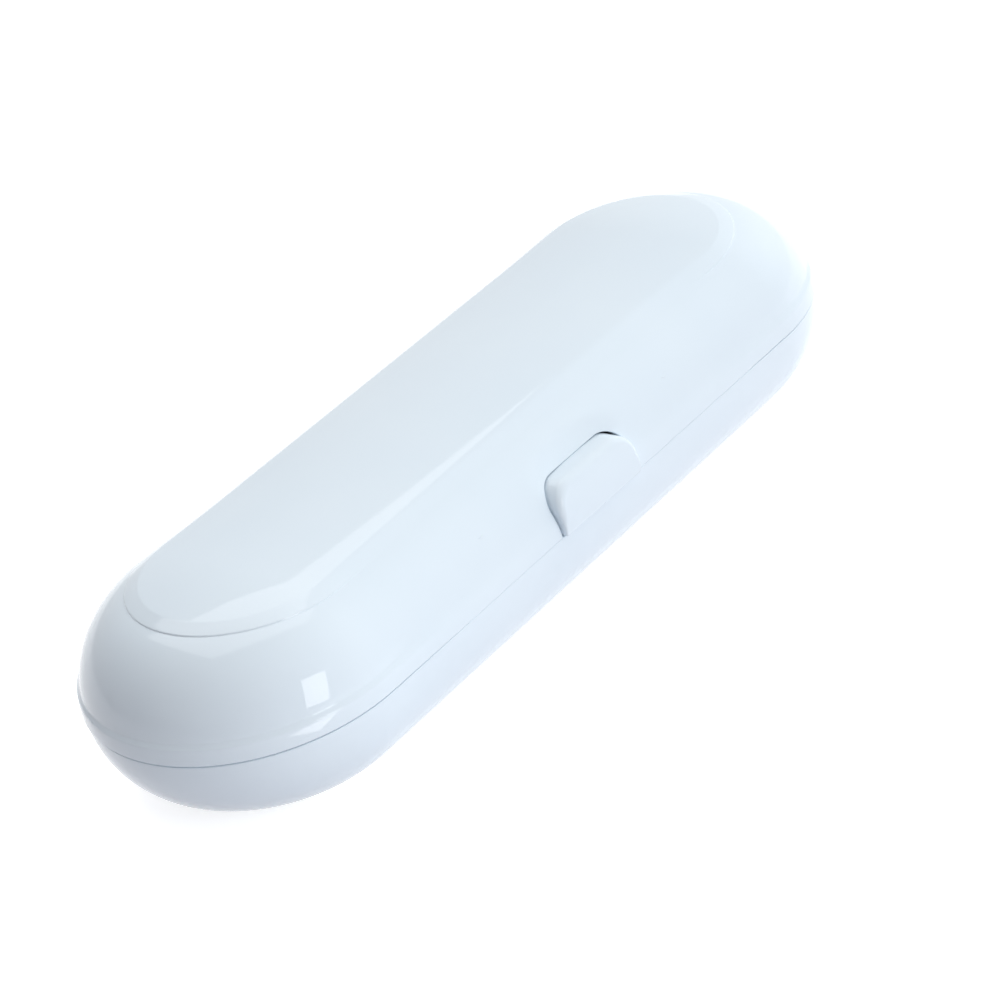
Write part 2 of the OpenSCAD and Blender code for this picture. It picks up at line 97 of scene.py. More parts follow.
# Front patch of both shells, with the opening for the button
PATCH_X = 22.0
LID_PATCH_Z = 40.0
BASE_SIDE_Z = 10.0
OPENING_X = 13.5
ARCH_R = 5.8
ARCH_TOP = 34.1
EDGE_ROUND = 0.3
EDGE_STRIP = EDGE_ROUND + 0.12
PATH_CORNER = 6.3

# Thumb hollow above the button
THUMB_R = 85.0
THUMB_DEPTH = 1.1
THUMB_LEAN = math.radians(34)
THUMB_SOFT = 0.25

# Hinge
HINGE_Y = 38.0
HINGE_X = 38.0
KNUCKLE_R = 2.4
KNUCKLE_L = 8.0
KNUCKLE_PITCH = 8.3
NOTCH_R = 2.7
NOTCH_HALF = 4.3
WEB_H = 6.0
LID_KNUCKLES = (HINGE_X,)
BASE_KNUCKLES = (HINGE_X - KNUCKLE_PITCH, HINGE_X + KNUCKLE_PITCH)
LID_BORE = 0.96
BASE_BORE = 0.92
LID_NOTCH_IN = 0.5
BASE_NOTCH_IN = 1.41

# Button
BUTTON_X = 13.2
BUTTON_LOW = 22.55
BUTTON_TOP = 33.45
BUTTON_TOP_R = 5.5
BUTTON_LOW_R = 0.7
BUTTON_WALL = 1.6
FACE_R = 16.0
FACE_C = 23.4
FACE_Z = 26.4
LOW_ROUND = 0.4
TOP_ROUND = 1.4
ROUND_FROM = 23.5
ROUND_RISE = 5.5
SILL = 23.05
ARM_OUT = -33.7
ARM_IN = -32.1
HOOK_OUT = -35.1
ARM_HALF = 5
ARM_TOP = 24.0
ARM_LOW = 18.05
HOOK_TOP = 19.85
CORE_SHARE = 0.42
CORE_X = 5.2
CORE_Z = 27.6
FRAME_R = 16.6
FRAME_X = 11.6
FRAME_LOW = 24.65
FRAME_TOP = 32.2
WING_R = 18.2
WING_H = 7
WING_NEAR = 11.7
WING_FAR = 15.2
SEAT_Y = -37.9
SPRING_Z = 28.4

# Screw bosses and tray posts: radius, screw hole, and (x, y, z) of their lower ends
BOSS_R = 2.5
BOSS_BORE = 0.95
LINER_BOSSES = [(sx * 32, sy * 31.45, 26.1) for sx in (-1, 1) for sy in (-1, 1)]
BRACKET_BOSSES = [(-19.5, -23.5, 31.8), (19.5, -23.5, 31.8)]
TRAY_POSTS = [(62, 31, 8.9), (-62, 31, 8.9), (96, -6, 5.0), (-96, -6, 5.0)]
POST_TOP = 19.0
LEDGE = [(-36.5, 20.15), (-34.0, 20.15), (-34.0, 21.05), (-34.9, 21.95), (-36.5, 21.95)]
LEDGE_HALF = 7


# ---------- meshes ----------

def grid_faces(rows, cols, start=0, closed_rows=False, closed_cols=False):
    """Quads of a rows x cols grid of points: each joins (i, j), (i, j+1), (i+1, j+1), (i+1, j)."""
    i = np.arange(rows if closed_rows else rows - 1)[:, None]
    j = np.arange(cols if closed_cols else cols - 1)[None, :]
    i2, j2 = (i + 1) % rows, (j + 1) % cols
    quads = np.stack(np.broadcast_arrays(i * cols + j, i * cols + j2, i2 * cols + j2, i2 * cols + j), -1)
    return (quads.reshape(-1, 4) + start).tolist()


class Surface:
    """Collects grids of points, in millimetres, that are welded into one mesh."""

    def __init__(self):
        self.points, self.faces, self.count = [], [], 0

    def grid(self, points, closed_rows=False, closed_cols=False):
        """Adds a rows x cols x 3 array of points with the quads between them."""
        rows, cols = points.shape[:2]
        self.faces += grid_faces(rows, cols, self.count, closed_rows, closed_cols)
        self.points.append(points.reshape(-1, 3))
        self.count += rows * cols

    def fan(self, ring):
        """Adds one face that fills a ring of points."""
        self.faces.append(list(range(self.count, self.count + len(ring))))
        self.points.append(np.asarray(ring))
        self.count += len(ring)

    def mesh(self, name, sharp=40):
        """Welds the grids, turns the faces outwards and marks the edges that bend more than `sharp` degrees."""
        data = bpy.data.meshes.new(name)
        data.from_pydata((np.concatenate(self.points) * MM).tolist(), [], self.faces)
        work = bmesh.new()
        work.from_mesh(data)
        bmesh.ops.remove_doubles(work, verts=work.verts, dist=WELD)
        bmesh.ops.dissolve_degenerate(work, dist=WELD / 2, edges=work.edges)
        bmesh.ops.recalc_face_normals(work, faces=work.faces)
        work.to_mesh(data)
        work.free()
        data.polygons.foreach_set("use_smooth", [True] * len(data.polygons))
        data.set_sharp_from_angle(angle=math.radians(sharp))
        return data


def piece(name, surface, body, nodes, material, sharp=40):
    """A finished piece from a surface: it rides a body and stands for its nodes, which it hides."""
    obj = bpy.data.objects.new(name, surface.mesh(name, sharp))
    bpy.context.scene.collection.objects.link(obj)
    obj.data.materials.append(material)
    even = obj.modifiers.new("even_normals", "WEIGHTED_NORMAL")
    even.keep_sharp = True
    even.weight = 50
    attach(obj, body)
    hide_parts(*nodes)
    return obj


def turned(profile, origin, axis, steps=48):
    """Surface of revolution: each (along, radius) of the profile gives the ring
    origin + along * axis + radius * (cos a * u + sin a * v)."""
    axis = np.asarray(axis, float)
    u = np.cross(axis, [0, 0, 1.0] if abs(axis[2]) < 0.9 else [1.0, 0, 0])
    u /= np.linalg.norm(u)
    v = np.cross(axis, u)
    a = np.linspace(0, 2 * np.pi, steps, endpoint=False)
    ring = np.cos(a)[:, None] * u + np.sin(a)[:, None] * v
    profile = np.asarray(profile, float)
    return np.asarray(origin) + profile[:, 0, None, None] * axis + profile[:, 1, None, None] * ring[None]


def rod(surface, origin, axis, length, radius, chamfer=0.2, bore=0.0):
    """A turned rod or tube with chamfered ends: radius is a stepped function of the way along the axis."""
    bend, half = chamfer * 0.3, chamfer / 2
    outer = [(0, radius - chamfer), (bend, radius - bend), (chamfer, radius), (length - chamfer, radius),
             (length - bend, radius - bend), (length, radius - chamfer)]
    if bore:
        inner = [(length, bore + half), (length - half, bore), (half, bore), (0, bore + half)]
        surface.grid(turned(outer + inner, origin, axis), closed_rows=True, closed_cols=True)
    else:
        surface.grid(turned([(0, 0)] + outer + [(length, 0)], origin, axis), closed_cols=True)


def prism(surface, outline_yz, x0, x1, chamfer=0.15):
    """A bar along X: the (y, z) outline, drawn in towards its middle by the chamfer at both ends."""
    outline = np.asarray(outline_yz, float)
    middle = outline.mean(0)
    toward = middle - outline
    toward /= np.linalg.norm(toward, axis=1)[:, None]
    xs = [x0, x0 + chamfer, x1 - chamfer, x1]
    drawn_in = [chamfer, 0, 0, chamfer]
    rows = [np.column_stack([np.full(len(outline), x), outline + toward * d]) for x, d in zip(xs, drawn_in)]
    surface.grid(np.array(rows), closed_cols=True)
    surface.fan(rows[0])
    surface.fan(rows[-1])


def eased(t):
    """A smooth step from 0 to 1: t * t * (3 - 2 * t)."""
    return t * t * (3 - 2 * t)


# ---------- the two shells ----------

# What a column on a round end has in place of its x on the straight
ON_END = 999


def plan_columns(xs_front, xs_rear, arc_steps=64):
    """Columns of a capsule seen from above, from the front's +X half round the rear to its -X half.
    Each is (share of the end centre's X, direction X, direction Y, x on the straight, rear or not)."""
    half = np.linspace(-np.pi / 2, np.pi / 2, arc_steps + 1)[1:-1]
    cols = [(x / END_X, 0, -1, x, 0) for x in xs_front]
    cols += [(1, math.cos(a), math.sin(a), ON_END, 0) for a in half]
    cols += [(x / END_X, 0, 1, x, 1) for x in xs_rear[::-1]]
    cols += [(-1, -math.cos(a), math.sin(a), ON_END, 0) for a in half[::-1]]
    cols += [(-x / END_X, 0, -1, -x, 0) for x in xs_front[::-1]]
    return np.array(cols, float)


def front_columns(xs):
    """Columns of the straight front at the given places along X, in the form of plan_columns."""
    return np.array([(x / END_X, 0, -1, x, 0) for x in xs], float)


def crown_point(x, y, grow):
    """Point of the lid's dome over (x, y), moved out along the dome's normal by grow.
    The height is the crown arc near the middle and the shoulder arc outside, both of the distance to the
    middle line."""
    over = np.sign(x) * np.maximum(np.abs(x) - END_X, 0)
    rho = np.hypot(over, y)
    crown = rho < CROWN_R * MEET_COS
    zc = CROWN_Z + np.sqrt(np.maximum(CROWN_R ** 2 - rho ** 2, 0))
    zs = SEAM + np.sqrt(np.maximum(SHOULDER_R ** 2 - (rho - SHOULDER_C) ** 2, 0))
    z = np.where(crown, zc, zs)
    lean = np.where(crown, rho / CROWN_R, (rho - SHOULDER_C) / SHOULDER_R)
    rise = np.sqrt(np.maximum(1 - lean ** 2, 0))
    safe = np.maximum(rho, 1e-9)
    return np.stack([x + grow * lean * over / safe, y + grow * lean * y / safe, z + grow * rise], -1)


def panel_height(depth, x):
    """How far the top panel stands up at a depth inside its edge: a short step, then a long gentle slope.
    The step is crisp round the ends and eases into the slope along the straight sides."""
    crisp = eased(np.clip((np.abs(x) - PANEL_CRISP_X) / PANEL_CRISP_L, 0, 1))
    step = PANEL_STEP * crisp * np.clip(depth / PANEL_STEP_W, 0, 1) ** PANEL_STEP_BOW
    t = np.clip(depth / (PANEL_SLOPE + PANEL_SOFT_W * (1 - crisp)), 0, 1)
    slope = (PANEL_PROUD - PANEL_STEP * crisp) * (crisp * t + (1 - crisp) * eased(t))
    return np.where(depth > 0, step + slope, 0)


def opening_path(parts):
    """An outline as rows (length so far, centre x, centre z, radius, unit x, unit z), sampled finely.
    A line goes from (centre x, z, unit x, z) to centre (x, z); an arc has a centre and two angles, degrees."""
    rows = []
    for kind, a, b, r in parts:
        t = np.linspace(0, 1, 400)[:, None]
        if kind == "line":
            c = (1 - t) * np.array(a[:2]) + t * np.array(b[:2])
            u = np.tile(np.array(a[2:], float), (len(t), 1))
        else:
            ang = (1 - t[:, 0]) * math.radians(b[0]) + t[:, 0] * math.radians(b[1])
            c = np.tile(np.array(a[:2], float), (len(t), 1))
            u = np.column_stack([np.cos(ang), np.sin(ang)])
        rows.append(np.column_stack([c, np.full(len(t), r), u]))
    rows = np.concatenate(rows)
    edge = rows[:, :2] + rows[:, 2:3] * rows[:, 3:]
    along = np.concatenate([[0], np.cumsum(np.hypot(*np.diff(edge, axis=0).T))])
    return np.column_stack([along, rows])


def opening_at(path, along, out):
    """Points (x, z) of an outline, moved outwards by out: centre + (radius + out) * unit direction."""
    path = path[np.concatenate([[True], np.diff(path[:, 0]) > 1e-9])]
    found = np.stack([np.interp(along, path[:, 0], path[:, k]) for k in range(1, 6)], -1)
    centre, radius, way = found[..., :2], found[..., 2:3], found[..., 3:]
    return centre + (radius + out) * way / np.linalg.norm(way, axis=-1, keepdims=True)


def opening_steps(reach):
    """Distances from the opening's edge: close together on its rounded edge, then wider up to reach."""
    roll = EDGE_ROUND * (1 - np.cos(np.linspace(0, np.pi / 2, 6)))
    wide = EDGE_STRIP + (reach - EDGE_STRIP) * np.linspace(0, 1, 15) ** 1.25
    return np.concatenate([roll, wide])


def edge_sink(out):
    """How far the rounded edge drops inwards at a distance out from the opening:
    radius - sqrt(radius^2 - (radius - out)^2)."""
    t = np.clip(EDGE_ROUND - out, 0, EDGE_ROUND)
    return EDGE_ROUND - np.sqrt(EDGE_ROUND ** 2 - t ** 2)


def patch_points(path, corner, mid_z, xs, steps):
    """Grid between the opening's outline and the patch's border, in (x, z): offset outlines near the edge, then
    a straight blend to the border. Rows follow the outline from its -X end to its +X end."""
    total = path[-1, 0]
    share = (mid_z - mid_z[0]) / (mid_z[-1] - mid_z[0])
    left = corner * share
    top = corner + (total - 2 * corner) * (xs - xs[0]) / (xs[-1] - xs[0])
    along = np.concatenate([left, top[1:-1], total - left[::-1]])
    border = np.concatenate([np.column_stack([np.full(len(mid_z), -PATCH_X), mid_z]),
                             np.column_stack([xs[1:-1], np.full(len(xs) - 2, mid_z[-1])]),
                             np.column_stack([np.full(len(mid_z), PATCH_X), mid_z[::-1]])])
    reach = PATCH_X - OPENING_X
    near = opening_at(path, along, EDGE_STRIP)
    rows = []
    for out in steps:
        if out <= EDGE_STRIP:
            rows.append(opening_at(path, along, out))
        else:
            t = (out - EDGE_STRIP) / (reach - EDGE_STRIP)
            rows.append((1 - t) * near + t * border)
    return np.stack(rows, 1)


class Shell:
    """One shell as a closed surface: rows run from the inside's middle, over the rim, to the outside's middle.

    up_in and up_out are rows (radius, end centre's X, growth) of point_up; mid_z are the heights of the rows
    that the patch shares, with the radii flat_in and flat_out; low_in, rim and low_out are rows
    (radius, height)."""

    def __init__(self, up_in, mid_z, low_in, rim, low_out, up_out, flat_in, flat_out, point_up, notch,
                 seam_side, path=None, corner=0):
        self.mid_z, self.flat_in, self.flat_out, self.point_up = mid_z, flat_in, flat_out, point_up
        self.up_in, self.up_out, self.low_in, self.rim, self.low_out = up_in, up_out, low_in, rim, low_out
        self.notch, self.seam_side, self.path, self.corner = notch, seam_side, path, corner

    def ring_rows(self, cols):
        """Points of every row at the plan columns: (centre share * end X + radius * direction, height)."""
        share, dx, dy, at_x, rear = cols.T
        rows = []
        crisp = end_share(at_x)

        def upright(r, z):
            near = np.clip(1 - np.abs(z - SEAM) / SEAM_REACH, 0, 1)
            opened = z + self.seam_side * SEAM_OPEN * crisp * near
            rows.append(np.stack([share * END_X + r * dx, r * dy, opened], -1))

        def curved(r, end, grow, inner):
            rows.append(self.point_up(share * end + r * dx, r * dy, grow, inner))

        for row in self.up_in:
            curved(*row, True)
        for z in self.mid_z[::-1]:
            upright(*self.notch(False, True, 0, self.flat_in(z), z, at_x, rear))
        marks = [len(rows) - 1]
        for block in (self.low_in, self.rim, self.low_out):
            for k, (r, z) in enumerate(block):
                rr, zz = self.notch(block is self.rim, block is self.low_in, k, r, z, at_x, rear)
                if block is self.low_out:
                    rr = rr + self.flat_out(zz, crisp) - self.flat_out(zz, 1.0)
                upright(rr, zz)
        marks.append(len(rows) - 1)
        for z in self.mid_z[1:]:
            upright(*self.notch(False, False, 0, self.flat_out(z, crisp), z, at_x, rear))
        for row in self.up_out:
            curved(*row, False)
        return np.array(rows), marks

    def build(self, surface, sides, across, rear, steps=None, hollow=None):
        """Adds the ring, the strips beside the opening, the patches round it and the opening's own walls."""
        cols = plan_columns(sides, rear)
        ring, (near_in, near_out) = self.ring_rows(cols)
        surface.grid(ring)
        n_in, n_out = len(self.up_in), len(self.up_out)
        whole, _ = self.ring_rows(front_columns(across))
        if self.path is None:
            surface.grid(whole)
            return
        surface.grid(whole[:n_in + 1])
        surface.grid(whole[len(whole) - n_out - 1:])
        # Strips beside the opening, below the patch
        sink = edge_sink(steps)
        n_low = len(self.low_in)
        split = 1 + n_low + len(self.rim)
        edges = {}
        for side in (-1, 1):
            strip, _ = self.ring_rows(front_columns(side * (OPENING_X + steps)))
            strip = strip[near_in:near_out + 1].copy()
            weight = np.concatenate([np.zeros(1 + n_low), np.linspace(0, 1, len(self.rim) + 2)[1:-1],
                                     np.ones(len(strip) - split)])
            strip[..., 1] += weight[:, None] * sink[None, :]
            surface.grid(strip)
            edges[side] = strip[:, 0]
        # Patches round the opening
        flat = patch_points(self.path, self.corner, self.mid_z, across, steps)
        outer = np.stack([flat[..., 0], -self.flat_out(flat[..., 1], 0.0), flat[..., 1]], -1)
        inner = np.stack([flat[..., 0], -self.flat_in(flat[..., 1]), flat[..., 1]], -1)
        outer = hollow(outer)
        outer[..., 1] += sink[None, :]
        surface.grid(outer)
        surface.grid(inner)
        # Walls of the opening, from the outer edge straight back to the inner edge
        out_edge = np.concatenate([edges[-1][split:], outer[1:-1, 0], edges[1][split:][::-1]])
        in_edge = np.concatenate([edges[-1][:n_low + 1][::-1], inner[1:-1, 0], edges[1][:n_low + 1]])
        surface.grid(np.stack([out_edge, in_edge]))
        for side in (-1, 1):
            surface.fan(edges[side][n_low:split + 1])


def lid_points(x, y, depth, inner):
    """Point of the lid over (x, y): the dome, with the panel's height outside or moved by depth inside."""
    return crown_point(x, y, depth if inner else panel_height(depth, x))


def arc_rows(cr, cz, radius, start, stop, count):
    """Rows (radius, height) of an arc about (cr, cz), from one angle in degrees to another."""
    a = np.radians(np.linspace(start, stop, count))
    return [(cr + radius * math.cos(t), cz + radius * math.sin(t)) for t in a]


def end_share(at_x):
    """1 on the rounded ends and 0 along the middle of the straight sides, with a smooth change between them."""
    return eased(np.clip((np.abs(at_x) - END_FROM) / (END_X - END_FROM), 0, 1))


def band_radius(z, crisp):
    """Outer radius of the lid's lower part: the dome's arc with a band that is crisp (1) or fades in (0)."""
    low = SOFT_COVE + (BAND_COVE - SOFT_COVE) * crisp
    top = SOFT_TOP + (BAND_TOP - SOFT_TOP) * crisp
    proud = BAND_PROUD * eased(np.clip((top - z) / (top - low), 0, 1))
    return SHOULDER_C + np.sqrt((SHOULDER_R + proud) ** 2 - (z - SEAM) ** 2)


def rear_notch(half_list, low_z, far_z, rim_arc):
    """The room for the other shell's knuckles: in these columns the rim follows an arc round the hinge axis,
    and the rows between far_z and low_z are spread out to meet it."""
    def move(is_rim, is_inner, k, r, z, at_x, rear):
        inside = np.zeros(len(at_x), bool)
        for c in half_list:
            inside |= (np.abs(np.abs(at_x) - c) < NOTCH_HALF - 0.01) & (rear > 0)
        rr, zz = r + 0 * at_x, z + 0 * at_x
        if is_rim:
            a = math.radians(rim_arc[0] + (rim_arc[1] - rim_arc[0]) * (k + 1) / RIM_PARTS)
            nr, nz = HINGE_Y + NOTCH_R * math.cos(a), SEAM + NOTCH_R * math.sin(a)
        else:
            edge = SEAM + NOTCH_R * math.sin(math.radians(rim_arc[0 if is_inner else 1]))
            share = np.clip((z - far_z) / (low_z - far_z), 0, 1)
            nz = z + share * (edge - low_z)
            nr = r
        return np.where(inside, nr, rr), np.where(inside, nz, zz)
    return move


def lid_surface():
    """The lid: shoulder and crown arcs carried round a capsule, a lower band, a raised panel and the opening's
    arch."""
    flat_in = lambda z: SHOULDER_C + np.sqrt(np.maximum((SHOULDER_R - WALL) ** 2 - (z - SEAM) ** 2, 0))
    band = lambda z: band_radius(z, 1.0)
    low_lean = math.asin((BAND_TOP - SEAM) / SHOULDER_R)
    high_lean = math.asin((LID_PATCH_Z - SEAM) / SHOULDER_R)
    mid_z = SEAM + SHOULDER_R * np.sin(np.linspace(low_lean, high_lean, 20))
    mid_z[0], mid_z[-1] = BAND_TOP, LID_PATCH_Z
    round_z = LID_LOW + RIM_ROUND
    low_out = arc_rows(band(round_z) - RIM_ROUND, round_z, RIM_ROUND, -90, 0, 6)
    low_out += [(band(z), z) for z in BAND_ROWS]
    low_out += [(band(z), z) for z in np.linspace(BAND_COVE, BAND_TOP, 12)]
    low_in = [(flat_in(z), z) for z in np.linspace(BAND_TOP, LID_LOW, len(low_out))[1:]]
    r0, r1 = low_in[-1][0], low_out[0][0]
    rim = [(r0 + (r1 - r0) * k / RIM_PARTS, LID_LOW) for k in range(1, RIM_PARTS)]
    up_in = [(r, END_X, -WALL) for r in LID_INSIDE_ROWS]
    start = float(band(LID_PATCH_Z))
    t = np.linspace(0, 1, 12)[1:]
    spread = 1 - (1 - t) ** 1.5
    up_out = [(start + (PANEL_R - start) * s, END_X + (PANEL_END - END_X) * s, 0) for s in spread]
    up_out += [(PANEL_R - d, PANEL_END, d) for d in PANEL_ROWS]
    side, low = OPENING_X - ARCH_R, ARCH_TOP - ARCH_R
    path = opening_path([("line", (-side, BAND_TOP, -1, 0), (-side, low), ARCH_R),
                         ("arc", (-side, low), (180, 90), ARCH_R),
                         ("line", (-side, low, 0, 1), (side, low), ARCH_R),
                         ("arc", (side, low), (90, 0), ARCH_R),
                         ("line", (side, low, 1, 0), (side, BAND_TOP), ARCH_R)])
    inner_arc = math.degrees(math.atan2(LID_NOTCH_IN, r0 - HINGE_Y))
    outer_arc = math.degrees(math.atan2(NOTCH_R, r1 - HINGE_Y))
    notch = rear_notch(BASE_KNUCKLES, LID_LOW, BAND_TOP, (inner_arc, outer_arc))
    return Shell(up_in, mid_z, low_in, rim, low_out, up_out, flat_in, band_radius, lid_points, notch, 1, path,
                 PATH_CORNER)


def base_points(x, y, grow, inner):
    """Point of the rounded underside over (x, y): flat in the middle, then an arc of the distance to the middle
    line. It doesn't grow."""
    over = np.maximum(np.abs(x) - END_X, 0)
    rho = np.hypot(over, y)
    radius = BASE_R - (WALL if inner else 0)
    z = BASE_R - np.sqrt(np.maximum(radius ** 2 - np.maximum(rho - BASE_C, 0) ** 2, 0))
    return np.stack([x, y, z], -1)


def base_surface():
    """The base: a flat underside and a quarter-round side carried round a capsule."""
    flat_out = lambda z, crisp: BASE_C + np.sqrt(np.maximum(BASE_R ** 2 - np.minimum(z - BASE_R, 0) ** 2, 0))
    flat_in = lambda z: BASE_C + np.sqrt(np.maximum((BASE_R - WALL) ** 2 - np.minimum(z - BASE_R, 0) ** 2, 0))
    lean = np.linspace(0, math.asin((BASE_R - BASE_SIDE_Z) / BASE_R), 16)
    mid_z = BASE_R - BASE_R * np.sin(lean)
    mid_z[0], mid_z[-1] = BASE_R, BASE_SIDE_Z
    rim_r = BASE_C + BASE_R
    low_out = arc_rows(rim_r - RIM_ROUND, BASE_TOP - RIM_ROUND, RIM_ROUND, 90, 0, 6)
    low_out += [(rim_r, 22.05), (rim_r, BASE_R)]
    in_r = rim_r - WALL
    low_in = [(in_r, z) for z in np.linspace(BASE_R, BASE_TOP, len(low_out))[1:]]
    r1 = low_out[0][0]
    rim = [(in_r + (r1 - in_r) * k / RIM_PARTS, BASE_TOP) for k in range(1, RIM_PARTS)]
    start_in = math.acos((BASE_R - BASE_SIDE_Z) / (BASE_R - WALL))
    up_in = [(r, END_X, 0) for r in (0, 8, BASE_C)]
    up_in += [(BASE_C + (BASE_R - WALL) * math.sin(a), END_X, 0) for a in np.linspace(0, start_in, 10)[1:-1]]
    start_out = math.acos((BASE_R - BASE_SIDE_Z) / BASE_R)
    up_out = [(BASE_C + BASE_R * math.sin(a), END_X, 0) for a in np.linspace(start_out, 0, 16)[1:]]
    up_out += [(r, END_X, 0) for r in (15.6, 12, 8, 4, 0)]
    inner_arc = 360 + math.degrees(math.atan2(-BASE_NOTCH_IN, in_r - HINGE_Y))
    outer_arc = 360 + math.degrees(math.atan2(-NOTCH_R, r1 - HINGE_Y))
    notch = rear_notch(LID_KNUCKLES, BASE_TOP, BASE_R - 4, (inner_arc, outer_arc))
    return Shell(up_in, mid_z, low_in, rim, low_out, up_out, flat_in, flat_out, base_points, notch, -1)


def thumb_hollow(points):
    """Sinks the dome along its normal where it lies inside the thumb's sphere, with a softened border."""
    away = SHOULDER_R + THUMB_R - THUMB_DEPTH
    ball = np.array([0, -SHOULDER_C - away * math.cos(THUMB_LEAN), SEAM + away * math.sin(THUMB_LEAN)])
    normal = points - np.array([0, -SHOULDER_C, SEAM])
    normal[..., 0] = 0
    normal /= np.linalg.norm(normal, axis=-1, keepdims=True)
    gap = points - ball
    along = (gap * normal).sum(-1)
    inside = THUMB_R ** 2 - ((gap ** 2).sum(-1) - along ** 2)
    sink = along + np.sqrt(np.maximum(inside, 0))
    border = np.clip(sink + THUMB_SOFT, 0, None) ** 2 / (4 * THUMB_SOFT)
    soft = np.where(sink > THUMB_SOFT, sink, border)
    return points - soft[..., None] * normal


def hinge_knuckles(surface, centres, side, bore):
    """Knuckle tubes on the hinge axis, each on a web that slopes into the shell's wall."""
    if side > 0:
        wall_y = SHOULDER_C + math.sqrt(SHOULDER_R ** 2 - WEB_H ** 2)
    else:
        wall_y = BASE_C + math.sqrt(BASE_R ** 2 - (WEB_H - BASE_TOP + BASE_R) ** 2)
    tip = SEAM + side * WEB_H
    web = [(HINGE_Y + KNUCKLE_R - 0.02, SEAM), (HINGE_Y + KNUCKLE_R - 0.1, SEAM + side * 0.7),
           (wall_y - 0.2, tip), (wall_y - 1, tip),
           (HINGE_Y - WALL + 0.4, SEAM + side * 2.5), (HINGE_Y - 0.4, SEAM + side * 1.4)]
    for c in centres:
        for s in (-1, 1):
            x0 = s * c - KNUCKLE_L / 2
            rod(surface, (x0, HINGE_Y, SEAM), (1, 0, 0), KNUCKLE_L, KNUCKLE_R, 0.25, bore)
            prism(surface, web, x0, x0 + KNUCKLE_L, 0.2)


# ---------- materials ----------

def srgb(r, g, b):
    """Linear values of a colour written as 0 to 255."""
    def lin(v):
        v /= 255
        return v / 12.92 if v <= 0.04045 else ((v + 0.055) / 1.055) ** 2.4
    return (lin(r), lin(g), lin(b), 1)


def new_material(name):
    """A material with its node tree, its shader and the object's own coordinates."""
    mat = bpy.data.materials.new(name)
    mat.use_nodes = True
    tree = mat.node_tree
    shader = tree.nodes["Principled BSDF"]
    coords = tree.nodes.new("ShaderNodeTexCoord")
    return mat, tree, shader, coords.outputs["Object"]


def noise(tree, coords, scale, detail=3, rough=0.5, stretch=None):
    """Noise of about scale cells a metre; stretch scales the coordinates along X, Y and Z first."""
    node = tree.nodes.new("ShaderNodeTexNoise")
    node.inputs["Scale"].default_value = scale
    node.inputs["Detail"].default_value = detail
    node.inputs["Roughness"].default_value = rough
    if stretch:
        mapping = tree.nodes.new("ShaderNodeMapping")
        mapping.inputs["Scale"].default_value = stretch
        tree.links.new(coords, mapping.inputs["Vector"])
        coords = mapping.outputs["Vector"]
    tree.links.new(coords, node.inputs["Vector"])
    return node.outputs["Fac"]


def ranged(tree, value, low, high, out_low, out_high):
    """A value carried from the range low..high to out_low..out_high, and held at its ends."""
    node = tree.nodes.new("ShaderNodeMapRange")
    for key, number in (("From Min", low), ("From Max", high), ("To Min", out_low), ("To Max", out_high)):
        node.inputs[key].default_value = number
    tree.links.new(value, node.inputs["Value"])
    return node.outputs["Result"]


def mixed(tree, factor, a, b):
    """Colour a where the factor is 0, b where it is 1."""
    node = tree.nodes.new("ShaderNodeMix")
    node.data_type = "RGBA"
    tree.links.new(factor, node.inputs["Factor"])
    node.inputs[6].default_value = a
    node.inputs[7].default_value = b
    return node.outputs[2]


def bumped(tree, shader, value, strength, distance):
    """Bends the shader's normal as if the surface rose by distance where the value is 1."""
    node = tree.nodes.new("ShaderNodeBump")
    node.inputs["Strength"].default_value = strength
    node.inputs["Distance"].default_value = distance
    tree.links.new(value, node.inputs["Height"])
    tree.links.new(node.outputs["Normal"], shader.inputs["Normal"])


def gloss_white():
    """Polished white moulding: a faint flow of tint, a slightly uneven polish and fine handling marks."""
    mat, tree, shader, at = new_material("gloss_white_moulding")
    tint = ranged(tree, noise(tree, at, 22, 3), 0.3, 0.7, 0, 1)
    tree.links.new(mixed(tree, tint, srgb(228, 240, 249), srgb(232, 243, 251)), shader.inputs["Base Color"])
    marks = noise(tree, at, 300, 2, 0.6, (1, 3.5, 3.5))
    tree.links.new(ranged(tree, marks, 0.35, 0.8, 0.03, 0.07), shader.inputs["Roughness"])
    shader.inputs["IOR"].default_value = 1.5
    bumped(tree, shader, noise(tree, at, 55, 2), 0.03, 0.0003)
    return mat


def satin_insert():
    """Inner moulding: spark-eroded satin texture with a slightly greyer tint in patches."""
    mat, tree, shader, at = new_material("satin_insert_moulding")
    tint = ranged(tree, noise(tree, at, 30, 3), 0.3, 0.7, 0, 1)
    tree.links.new(mixed(tree, tint, srgb(216, 222, 229), srgb(224, 229, 235)), shader.inputs["Base Color"])
    tree.links.new(ranged(tree, noise(tree, at, 900, 2), 0.3, 0.7, 0.45, 0.6), shader.inputs["Roughness"])
    bumped(tree, shader, noise(tree, at, 1500, 2), 0.25, 0.00008)
    return mat


def soft_rubber():
    """Soft grey silicone: matt, with a fine skin and a dusty lighter tint."""
    mat, tree, shader, at = new_material("soft_grey_silicone")
    tint = ranged(tree, noise(tree, at, 120, 4), 0.3, 0.75, 0, 1)
    tree.links.new(mixed(tree, tint, srgb(134, 140, 150), srgb(152, 158, 167)), shader.inputs["Base Color"])
    tree.links.new(ranged(tree, noise(tree, at, 600, 2), 0.3, 0.7, 0.6, 0.78), shader.inputs["Roughness"])
    shader.inputs["Sheen Weight"].default_value = 0.15
    bumped(tree, shader, noise(tree, at, 2200, 3), 0.3, 0.00005)
    return mat


